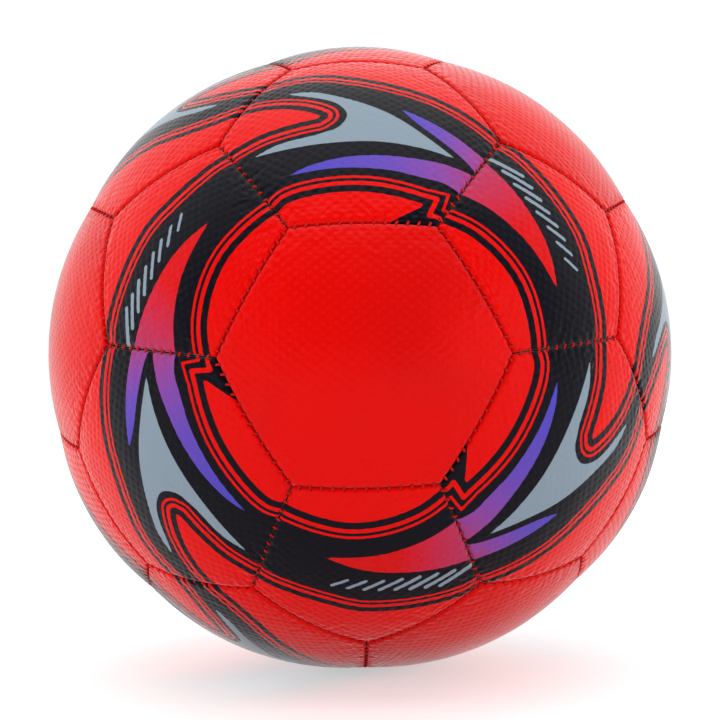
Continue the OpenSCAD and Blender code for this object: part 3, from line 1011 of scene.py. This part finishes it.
# %% [markdown]
# ## The studio
# A ball shown in a catalogue rests on a white table in a white tent, with softboxes above and beside
# it. The tent is the world: it is white behind the ball, so that its mirror image whitens the ball
# towards its outline, and dark round the camera, so that the front keeps its full colour. What the
# camera sees of it is plain white. The table glows faintly for the camera, and only the shadow under
# the ball shows on it.

# %% White table
TABLE_HALF = 6.0
TABLE_DROP = 0.2 * MM
TABLE_GLOW = 0.5
GLOW_FRONT, GLOW_BACK = -70 * MM, -20 * MM
floor_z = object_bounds()[0].z - TABLE_DROP
table = bpy.data.meshes.new("white_table")
table.from_pydata([(x * TABLE_HALF, y * TABLE_HALF, floor_z)
                   for x, y in ((-1, -1), (1, -1), (1, 1), (-1, 1))], [], [(0, 1, 2, 3)])
floor = bpy.data.objects.new("white_table", table)
bpy.context.scene.collection.objects.link(floor)
table_paint, tree, shader = new_material("matt_white_table")
feed(tree, shader, {"Base Color": linear("#e4e4e4"), "Roughness": 0.9})
rays = add(tree, "ShaderNodeLightPath").outputs
depth = add(tree, "ShaderNodeSeparateXYZ", [add(tree, "ShaderNodeNewGeometry")]).outputs[1]
mirrored = add(tree, RANGE, [depth, GLOW_FRONT, GLOW_BACK], interpolation_type="SMOOTHSTEP")
mirrored = add(tree, MATH, [mirrored, rays["Is Glossy Ray"]], operation="MULTIPLY")
glow = add(tree, MATH, [rays["Is Camera Ray"], mirrored], operation="MAXIMUM")
glow = add(tree, MATH, [glow, TABLE_GLOW], operation="MULTIPLY")
glow = add(tree, "ShaderNodeEmission", {"Color": (1, 1, 1, 1), "Strength": glow})
surface = add(tree, "ShaderNodeAddShader", [shader.outputs[0], glow])
feed(tree, tree.nodes["Material Output"], {"Surface": surface})
table.materials.append(table_paint)

# %% White tent
TENT_LEVEL = 1.05
OPEN_FRONT_LEVEL = 0.03
WHITE_SIDE = (0.0, 0.9, 0.45)
DARK_UNTIL, WHITE_FROM = -0.45, 0.15
world = bpy.data.worlds.new("white_tent")
bpy.context.scene.world = world
world.use_nodes = True
tree = world.node_tree
direction = add(tree, "ShaderNodeTexCoord").outputs["Generated"]
backwards = add(tree, VECTOR_MATH, [direction, WHITE_SIDE], operation="DOT_PRODUCT")
level = add(tree, RANGE, [backwards, DARK_UNTIL, WHITE_FROM, OPEN_FRONT_LEVEL, TENT_LEVEL],
            interpolation_type="SMOOTHSTEP")
seen = add(tree, "ShaderNodeLightPath").outputs["Is Camera Ray"]
level = add(tree, MATH, [level, seen], operation="MAXIMUM")
feed(tree, tree.nodes["Background"], {"Color": (1, 1, 1, 1), "Strength": level})


# %% Softboxes
def softbox(name, power, size, place, mirrored):
    """Square lamp that points at the ball; one that isn't mirrored leaves no highlight on it."""
    light = bpy.data.lights.new(name, "AREA")
    light.energy = power
    light.size = size
    made = bpy.data.objects.new(name, light)
    made.location = place
    made.rotation_euler = (-Vector(place)).to_track_quat("-Z", "Y").to_euler()
    made.visible_glossy = mirrored
    bpy.context.scene.collection.objects.link(made)


softbox("overhead_softbox", 5.0, 1.4, (0.0, -0.35, 1.35), True)
softbox("left_softbox", 17.6, 1.3, (-1.4, -1.0, 0.0), False)
softbox("right_softbox", 17.6, 1.3, (1.4, -1.0, 0.0), False)
print(len(bpy.data.lights), "softboxes round the ball")

# %% [markdown]
# ## The camera
# The camera stands about half a metre from the ball, level with its middle, so that a red hexagon
# faces it. The ball lies turned by about a degree, which the camera copies by turning the other way.

# %% Camera at half a metre
CAMERA_DISTANCE = 4.749 * BALL_R
VIEW_TURN = Vector((-0.0093, -0.0149, 0.0136))
turn = Matrix.Rotation(VIEW_TURN.length, 3, VIEW_TURN.normalized()).transposed()
camera = bpy.data.cameras.new("camera")
camera.sensor_width = 36.0
camera.lens = 72.5
camera.shift_x = 0.0002
camera.shift_y = -0.0015
viewer = bpy.data.objects.new("camera", camera)
right, forward, up = (turn @ Vector(axis) for axis in ((1, 0, 0), (0, 1, 0), (0, 0, 1)))
facing = Matrix((right, up, -forward)).transposed().to_4x4()
viewer.matrix_world = Matrix.Translation(-forward * CAMERA_DISTANCE) @ facing
bpy.context.scene.collection.objects.link(viewer)
bpy.context.scene.camera = viewer
bpy.context.scene.view_settings.view_transform = "Standard"
print("camera", round(CAMERA_DISTANCE, 3), "m from the ball's middle")
